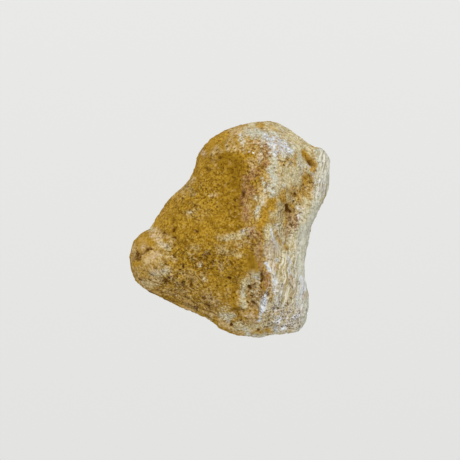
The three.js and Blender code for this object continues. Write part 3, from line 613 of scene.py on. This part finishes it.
# Scars: furrows and pits (depth in mm above 0) and ridges (below 0) too fine for the solid.
SCARS = [
    ([(27.2, 27.4), (28.3, 26), (29.4, 23.4)], 0.8, 0.5), ([(28.8, 24.4), (29.4, 23.4)], 0.6, 0.7),
    ([(30.4, 20), (30.6, 16)], 0.8, 0.5), ([(21, 9), (21.2, 7), (22, 6.6)], 0.9, 0.7),
    ([(22, 4.6), (22.2, 1.6)], 0.9, 0.7), ([(20.7, 0), (20.8, -3)], 0.8, 0.5), ([(24.5, 12.6)], 0.9, 0.5),
    ([(23, 10.3)], 0.7, 0.35), ([(-34.4, -10.4), (-33, -9.2)], 1.1, 0.4),
    ([(-31, -8.2), (-28.8, -6.8)], 0.7, 0.4), ([(-25.5, 0), (-22.5, -1.4), (-20, -3), (-19.6, -6)], 1, 0.5),
    ([(-20, 0)], 0.8, 0.6), ([(-18, -4.4), (-16.6, -3.8), (-15.4, -5.4), (-16.6, -8.4)], 0.6, 0.4),
    ([(-17, -13.5)], 0.9, 0.5), ([(-23.4, -18.6), (-22.4, -19.4)], 0.8, 0.5), ([(-16.6, -19.4)], 0.9, 0.6),
    ([(-14, -19.4)], 0.6, 0.3), ([(0, -17.4)], 0.9, 0.6),
    ([(-9.4, -9), (-7.4, -8.4), (-8.4, -11)], 0.9, 0.3),
    ([(-6, 0.4), (-2, 1), (1.4, 0.2), (4, 1)], 0.7, 0.5),
    ([(-3.4, -2.4), (0, -1.6), (4, -1), (8, 0.4)], 1.2, -0.5),
    ([(7.4, -1), (8.6, -0.4), (10, -1.4), (9.6, -3.6), (7.6, -3)], 0.5, 0.4),
    ([(7.4, -5), (9, -6.6), (10, -5.6)], 0.5, 0.4), ([(14.4, 0.4), (15, -3), (16, -5.4)], 0.9, -0.5),
    ([(12.4, -11.6), (15, -14.6)], 0.8, -0.5), ([(8.6, -19), (8.8, -24), (9.2, -28)], 2, 0.35),
    ([(7.4, -21), (9, -21)], 0.7, 0.5), ([(8.3, -26.5), (9.8, -28.2)], 0.7, 0.6),
    ([(11.4, -16.4), (11.8, -17.6)], 0.8, 0.7), ([(6, -20), (5.2, -24), (6, -28)], 1.2, -0.6),
    ([(16, -16), (16.4, -22), (17, -27)], 0.9, -0.5), ([(13.6, -21), (12.2, -27.4), (12, -29.6)], 0.8, -0.6),
    ([(15.2, -23.4), (15.2, -26)], 0.7, 0.4), ([(1.6, -29), (4.6, -29.3)], 0.9, 0.6),
    ([(4.6, -32), (4, -33.5)], 0.5, 0.25), ([(0.4, -34.3)], 0.6, 0.5),
    ([(16.4, -34.6), (16.6, -37)], 0.7, 0.6), ([(10, -36.8)], 0.8, 0.4),
    ([(22, 30), (23.4, 28.6), (24, 26)], 0.5, 0.4), ([(13.6, 30), (12.6, 25.4)], 0.7, 0.35),
    ([(4.6, 13.4), (4.8, 11.6)], 1, 0.5), ([(2, 24.6), (2.4, 21)], 1.6, 0.4), ([(-4, 26.6)], 1.3, 0.4),
    ([(-12, -0.7)], 0.8, 0.5), ([(15.4, 30), (22, 27.6)], 2, -0.5),
]
depth = np.zeros(len(points))
for path, width, deepest in SCARS:
    depth[top] += deepest * np.exp(-((away_from(path) / width) ** 2))
keep("scar", depth * on_top * MM)

# How the rind is weathered from place to place.
WEATHERING = {
    "pitted": [
        ([(-22, -19), (-14, -21.6), (-9, -24)], 5.2, 0.85), ([(-6, -27), (0, -29)], 3.4, 0.5),
        ([(-15, -10.6), (-6, -10), (-2, -11)], 5.6, 0.8), ([(7, 0), (9, -4)], 3.2, 0.5),
        ([(6, -32), (-2, -30)], 4, 0.4), ([(9, -23)], 4, 1), ([(22.6, 9.4), (22, 2)], 3.6, 0.8),
        ([(28, 17)], 3.6, 0.8), ([(8, 16), (11, 26)], 4, 0.6), ([(15, -31), (22, -32)], 4.2, 0.68),
        ([(-5, 18), (-12, 8), (-2, 8)], 8, 0.5), ([(20, 24)], 3, 0.6),
    ],
    "wrinkled": [
        ([(19, -9), (21, -20), (20.6, -26)], 4.6, 1), ([(24, -1), (24, -10)], 3.2, 0.6),
        ([(34, 26), (33, 14)], 2.6, 1),
    ],
    "streaked": [
        ([(-26, -22), (-15, -26.4), (-6, -30)], 3.2, 1),
    ],
    "sparry": [
        ([(17, -31), (24, -31), (20, -35)], 4, 1), ([(15, -13)], 2, 0.4), ([(16, 29), (21, 28)], 3.2, 0.3),
        ([(17, -20), (12, -27)], 2.2, 0.5),
    ],
    "calm": [
        ([(33.6, 27), (33, 16)], 2, 0.3), ([(29, 5), (26, -6), (26.4, -24)], 2.6, 0.4),
        ([(-32, -4), (-30, -10)], 3.4, 0.7), ([(8, -12.6)], 2.6, 0.9), ([(-10, 6), (-3, 6)], 4, 0.3),
        ([(5.4, -24)], 1.6, 0.8), ([(24, 18)], 3, 0.5), ([(-8, 32)], 2, 0.5),
    ],
}
PITTED_OUT_OF_VIEW = 0.5
cover.update({name: covered(strokes) for name, strokes in WEATHERING.items()})
cover["pitted"] += hidden * PITTED_OUT_OF_VIEW
for name, values in cover.items():
    keep(name, values)

# The skin is carved by geometry nodes: each point moves along the way that the skin faces.
tree = bpy.data.node_groups.new("weathering", "GeometryNodeTree")
tree.interface.new_socket("Geometry", in_out="OUTPUT", socket_type="NodeSocketGeometry")
tree.interface.new_socket("Geometry", in_out="INPUT", socket_type="NodeSocketGeometry")
SIZES_MM = {
    "Lump size": 3.4, "Lump height": 0.42,
    "Grain size": 1.0, "Grain height": 0.27,
    "Large pit spacing": 3.4, "Large pit depth": 0.55,
    "Small pit spacing": 1.6, "Small pit depth": 0.30,
    "Wrinkle spacing": 1.0, "Wrinkle length": 9.0, "Wrinkle depth": 0.42,
    "Crystal size": 1.5, "Crystal height": 0.55,
}
identifiers = {}
for name, value in SIZES_MM.items():
    socket = tree.interface.new_socket(name, in_out="INPUT", socket_type="NodeSocketFloat")
    identifiers[socket.identifier] = value * MM
rind_socket = tree.interface.new_socket("Rind", in_out="INPUT", socket_type="NodeSocketMaterial")

wire = Wire(tree)
entry = wire.add("NodeGroupInput")
sizes = {name: entry.beside(name) for name in SIZES_MM}
place = wire.add("GeometryNodeInputPosition")
facing = wire.add("GeometryNodeInputNormal")

NOISE_SPREAD = 3.0
PITTED_ROUGHER, CALM_SMOOTHER = 0.5, 0.8  # share by which the grains stand higher and lower
PIT_RADIUS, PIT_RADIUS_VARIES = 0.22, 0.25  # shares of the spacing
PIT_FLOOR = 0.35  # share of a pit's radius that is its flat floor
SHALLOWER_PITS = 0.12  # share of the cells
LARGE_PITTED, SMALL_PITTED = (0.03, 0.40), (0.06, 0.60)  # least and most cells with a pit
SMALL_PITS_SHIFT = 0.31
STREAKS_TURN = math.radians(24)
CRYSTAL_LEVEL = 0.5  # of its size, from its middle to where it is level with the skin


def kept(name):
    return wire.add("GeometryNodeInputNamedAttribute", {"data_type": "FLOAT"}, {"Name": name})


def mottle(at, scale, detail):
    """Noise from about -1 to 1."""
    inputs = {"Vector": at, "Scale": scale, "Detail": detail}
    return (wire.add("ShaderNodeTexNoise", inputs=inputs) - 0.5) * NOISE_SPREAD


def pits(kind, shift, least, most):
    """Round pits in the least share of the cells, and in the most where the rind is pitted."""
    moved = place.vector("ADD", (shift,) * 3)
    inputs = {"Vector": moved, "Scale": 1 / sizes[f"{kind} pit spacing"]}
    cell = wire.add("ShaderNodeTexVoronoi", inputs=inputs)
    lot = wire.add("FunctionNodeSeparateColor", inputs={0: cell.beside("Color")})
    radius = lot.beside(1) * PIT_RADIUS_VARIES + PIT_RADIUS
    wanted = (kept("pitted") * (most - least) + least - lot).smooth(0.0, SHALLOWER_PITS)
    return (1 - (cell / radius).smooth(PIT_FLOOR, 1.0)) * wanted * sizes[f"{kind} pit depth"]


def ridges(at, x, y, z, where):
    """Long ridges and furrows: noise that is drawn out by its own amount along each axis."""
    scale = wire.add("ShaderNodeCombineXYZ", inputs={"X": x, "Y": y, "Z": z})
    return mottle(at.vector("MULTIPLY", scale), 1.0, 1.0) * sizes["Wrinkle depth"] * kept(where)


lumps = mottle(place, 1 / sizes["Lump size"], 2.0) * sizes["Lump height"]
rough = 1 + kept("pitted") * PITTED_ROUGHER - kept("calm") * CALM_SMOOTHER
grains = mottle(place, 1 / sizes["Grain size"], 3.0) * sizes["Grain height"] * rough
small_pits = pits("Small", SMALL_PITS_SHIFT, *SMALL_PITTED)
hollow = pits("Large", 0.0, *LARGE_PITTED) + small_pits + kept("scar")
across = 1 / sizes["Wrinkle spacing"]
lengthways = 1 / sizes["Wrinkle length"]
wrinkles = ridges(place, across, lengthways, lengthways, "wrinkled")
inputs = {"Vector": place, "Angle": STREAKS_TURN}
turned = wire.add("ShaderNodeVectorRotate", {"rotation_type": "Z_AXIS"}, inputs)
streaks = ridges(turned, lengthways, across, across, "streaked")
inputs = {"Vector": place, "Scale": 1 / sizes["Crystal size"]}
facets = wire.add("ShaderNodeTexVoronoi", {"distance": "CHEBYCHEV"}, inputs)
crystals = (CRYSTAL_LEVEL - facets) * sizes["Crystal height"] * kept("sparry")
relief = grains + wrinkles + streaks
offset = facing.scaled(lumps + relief + crystals - hollow)

geometry = entry.beside("Geometry")
for name, value in (("hollow", hollow / MM), ("relief", relief / MM)):
    inputs = {"Geometry": geometry, "Name": name, "Value": value}
    geometry = wire.add("GeometryNodeStoreNamedAttribute", {"data_type": "FLOAT"}, inputs)
geometry = wire.add("GeometryNodeSetPosition", inputs={"Geometry": geometry, "Offset": offset})

# The foot stays flat: the carving takes no point below the surface that the stone rests on.
split = wire.add("ShaderNodeSeparateXYZ", inputs={"Vector": place})
inputs = {"X": split, "Y": split.beside("Y"), "Z": split.beside("Z").or_more(0.0)}
rested = wire.add("ShaderNodeCombineXYZ", inputs=inputs)
geometry = wire.add("GeometryNodeSetPosition", inputs={"Geometry": geometry, "Position": rested})
geometry = wire.add("GeometryNodeSetShadeSmooth", inputs={"Geometry": geometry})
geometry = wire.add("GeometryNodeRealizeInstances", inputs={"Geometry": geometry})
inputs = {"Geometry": geometry, "Material": entry.beside("Rind")}
geometry = wire.add("GeometryNodeSetMaterial", inputs=inputs)
wire.add("NodeGroupOutput", inputs={"Geometry": geometry})

# The rind's finish: each stain lies over the one before it, and is mixed with it grain by
# grain along its edges. Every one of them is a pair of colours, of its hollows and its grains:
# the stone's speckle, with painted shade in the hollows of the bumped grain and painted
# highlight on its tops.
rind, wire = new_material("weathered rind")
place = wire.add("ShaderNodeTexCoord", output="Object")


def speckle(size_mm, detail, roughness=0.6, shift=0.0):
    """Three independent noises from about 0 to 1, of one size."""
    moved = place.vector("ADD", (shift,) * 3)
    inputs = {"Vector": moved, "Scale": 1 / (size_mm * MM), "Detail": detail, "Roughness": roughness}
    cloud = wire.add("ShaderNodeTexNoise", inputs=inputs, output="Color")
    parts = wire.add("ShaderNodeSeparateColor", inputs={0: cloud})
    return [parts.beside(channel) for channel in ("Red", "Green", "Blue")]


def stained(name):
    return wire.add("ShaderNodeAttribute", {"attribute_name": name}, output="Fac")


def blend(below, above, share):
    inputs = {"Factor": share, 6: below, 7: above}
    return wire.add("ShaderNodeMix", {"data_type": "RGBA"}, inputs, output=2)


def swirled(size_mm, reach_mm):
    """Places that are stirred about by noise."""
    inputs = {"Vector": place, "Scale": 1 / (size_mm * MM), "Detail": 1.0}
    stir = wire.add("ShaderNodeTexNoise", inputs=inputs, output="Color")
    spread = reach_mm * 4 * MM
    return place.vector("ADD", stir.vector("MULTIPLY_ADD", (spread,) * 3, (-spread / 2,) * 3))


pitted = stained("pitted")
calm = stained("calm")
sparry = stained("sparry")


def by_pitting(plain, more):
    """A share for the plain rind, and how much more of it there is where the rind is pitted."""
    return pitted * more + plain


# Three sizes of noise make the grain. There is less of it where the rind is calm.
GRAIN_FROM, GRAIN_TO = 0.39, 0.61
GRAIN_PLAIN, GRAIN_PITTED, GRAIN_CALM = 0.66, 0.20, 0.45
patches = speckle(2.4, 2.0)
specks = speckle(1.2, 2.0, shift=0.1)
fines = speckle(0.7, 1.0, 0.5, shift=0.2)
grain = (patches[0] * 0.2 + specks[0] * 0.3 + fines[0] * 0.5).smooth(GRAIN_FROM, GRAIN_TO)
grain = 0.5 + (grain - 0.5) * (by_pitting(GRAIN_PLAIN, GRAIN_PITTED) - calm * GRAIN_CALM)

OCHRE = ((124, 85, 1), (184, 147, 50))
COLOURS = {
    "umber": ((106, 72, 0), (160, 122, 28)),
    "tan": ((156, 124, 64), (214, 188, 138)),
    "straw": ((146, 121, 60), (209, 189, 139)),
    "cream": ((158, 142, 96), (217, 207, 172)),
    "grey": ((158, 157, 135), (214, 212, 195)),
    "chalk": ((164, 166, 166), (224, 229, 237)),
    "orange": ((138, 98, 4), (196, 155, 60)),
    "pink": ((156, 126, 90), (212, 190, 160)),
    "rust": ((108, 66, 20), (180, 140, 90)),
    "dark": ((56, 30, 0), (106, 66, 10)),
    "spar": ((205, 200, 195), (245, 245, 245)),
}
EDGE_BROKEN = 5.0
EDGE_SOFT = 0.38


# Painted shade and highlight: the first colour goes in the bump's hollows, the second on its tops.
def grained(hollows_with_shade, grains_with_highlight):
    return blend(srgb(*hollows_with_shade), srgb(*grains_with_highlight), grain)


colour = grained(*OCHRE)
for number, (name, pair) in enumerate(COLOURS.items(), 1):
    one, two, three = number % 3, (number + 1) % 3, (number + 2) % 3
    broken = (patches[one] * 0.25 + specks[two] * 0.35 + fines[three] * 0.4 - 0.5) * EDGE_BROKEN
    share = (stained(name) * (broken + 1)).smooth(0.5 - EDGE_SOFT, 0.5 + EDGE_SOFT)
    colour = blend(colour, grained(*pair), share)

# Fine lines run along the wrinkles and the streaks, raised only in the bump: the rind's own streaky colour,
# with painted shade between the ridges and painted highlight on them.
LINE_SPACING, LINE_LENGTH = 0.55 * MM, 7.0 * MM
DARK_LINES, LIGHT_LINES = (0.47, 0.38), (0.50, 0.62)  # noise where they begin and are full
LINES = {  # their turn in degrees, and the colour and strength of the dark and the light ones
    "wrinkled": (8, (148, 128, 80), 0.7, (236, 230, 212), 0.7),
    "streaked": (113, (92, 60, 8), 0.6, (186, 152, 90), 0.45),
}
dark = {}
light = {}
for name, (turn, dark_colour, dark_share, light_colour, light_share) in LINES.items():
    inputs = {"Vector": swirled(6.0, 0.8), "Angle": math.radians(turn)}
    turned = wire.add("ShaderNodeVectorRotate", {"rotation_type": "Z_AXIS"}, inputs)
    drawn = turned.vector("MULTIPLY", (1 / LINE_SPACING, 1 / LINE_LENGTH, 1 / LINE_LENGTH))
    lines = wire.add("ShaderNodeTexNoise", inputs={"Vector": drawn, "Scale": 1.0, "Detail": 2.0})
    dark[name] = lines.smooth(*DARK_LINES) * stained(name)
    light[name] = lines.smooth(*LIGHT_LINES) * stained(name)
    # Painted shade in the furrows and painted highlight on the ridges of the lines.
    colour = blend(colour, srgb(*dark_colour), dark[name] * dark_share)
    colour = blend(colour, srgb(*light_colour), light[name] * light_share)

# Loose grains of clear spar catch the light.
CLEAR_SPAR = srgb(244, 240, 236)
SPAR_FROM, SPAR_TO, SPAR_SHARE = 0.58, 0.70, 0.8
colour = blend(colour, CLEAR_SPAR, fines[1].smooth(SPAR_FROM, SPAR_TO) * sparry * SPAR_SHARE)

# Dark brown lies in the crevices between the grains and in pores, most where the rind is pitted:
# dirt, with painted shade. The carved hollows are painted darker the deeper they are, and the sunk
# relief darker too: painted shade. The tops of the raised relief are painted paler: wear, with a
# painted highlight.
DIRT_AND_SHADE_COLOUR = srgb(80, 50, 2)
WORN_AND_HIGHLIGHT_COLOUR = srgb(222, 200, 150)
CREVICE_EDGE, CREVICE_FLOOR = 0.045, 0.012  # how far the noise is from its middle
PORE_SPACING = 1.5 * MM
PORE_EDGE, PORE_FLOOR = 0.34, 0.16  # radius, of the spacing
PORES_PLAIN, PORES_PITTED = 0.08, 0.40  # share of the cells with one, and what pitting adds
SHALLOWER_PORES = 0.1
HOLLOW_FROM, HOLLOW_TO, HOLLOW_SHADE = 0.15, 0.8, 0.5  # carved depth in mm, and its painted shade
WORN_FROM, WORN_TO = 0.04, 0.20  # height of the relief in mm
SUNK_FROM, SUNK_TO = -0.05, -0.24
folds = speckle(1.6, 1.0, shift=0.3)
where = patches[1] * 0.4 + specks[2] * 0.6 + pitted * 0.10 - calm * 0.10


def creases(fold, low, high):
    """Thin crevices along the middle of one noise, where another one is high."""
    return abs(fold - 0.5).smooth(CREVICE_EDGE, CREVICE_FLOOR) * where.smooth(low, high)


crevice = creases(folds[0], 0.47, 0.60).or_more(creases(folds[1], 0.56, 0.66))
inputs = {"Vector": swirled(1.1, 0.3), "Scale": 1 / PORE_SPACING}
cell = wire.add("ShaderNodeTexVoronoi", inputs=inputs)
lot = wire.add("ShaderNodeSeparateColor", inputs={0: cell.beside("Color")})
wanted = (by_pitting(PORES_PLAIN, PORES_PITTED) - lot).smooth(0.0, SHALLOWER_PORES)
pore = cell.smooth(PORE_EDGE, PORE_FLOOR) * wanted
# Painted shade: the carved hollows darken with their depth.
pit_shade = stained("hollow").smooth(HOLLOW_FROM, HOLLOW_TO) * HOLLOW_SHADE
dirt_and_shade = (crevice * by_pitting(0.6, 0.3)).or_more(pore * 0.85).or_more(pit_shade)
relief = stained("relief")
# Wear with a painted highlight on the raised relief, and painted shade on the sunk relief.
worn_and_highlight = relief.smooth(WORN_FROM, WORN_TO) * by_pitting(0.12, 0.25)
sunk_shade = relief.smooth(SUNK_FROM, SUNK_TO) * by_pitting(0.20, 0.35)
colour = blend(colour, WORN_AND_HIGHLIGHT_COLOUR, worn_and_highlight)
colour = blend(colour, DIRT_AND_SHADE_COLOUR, sunk_shade)
colour = blend(colour, DIRT_AND_SHADE_COLOUR, dirt_and_shade)

# The finest relief is only shaded. Dry rind is dull, and spar is smoother.
BUMP_STRENGTH, BUMP_HEIGHT = 0.8, 0.2 * MM
ROUGH, SPAR_SMOOTHER = 0.95, 0.4
SHINE = 0.08
raised = grain + (light["wrinkled"] - dark["wrinkled"] - dark["streaked"]) * 0.5
raised = raised - crevice * 0.6 - pore
inputs = {"Strength": BUMP_STRENGTH, "Distance": BUMP_HEIGHT, "Height": raised}
inputs = {
    "Base Color": colour,
    "Roughness": ROUGH - sparry * grain * SPAR_SMOOTHER,
    "Specular IOR Level": SHINE,
    "Normal": wire.add("ShaderNodeBump", inputs=inputs),
}
shader = wire.add("ShaderNodeBsdfPrincipled", inputs=inputs)
wire.add("ShaderNodeOutputMaterial", inputs={"Surface": shader})

carving = stone.modifiers.new("weathering", "NODES")
carving.node_group = tree
for identifier, value in identifiers.items():
    carving[identifier] = value
carving[rind_socket.identifier] = rind
settled(stone)

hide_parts("geode")
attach(stone, "root")
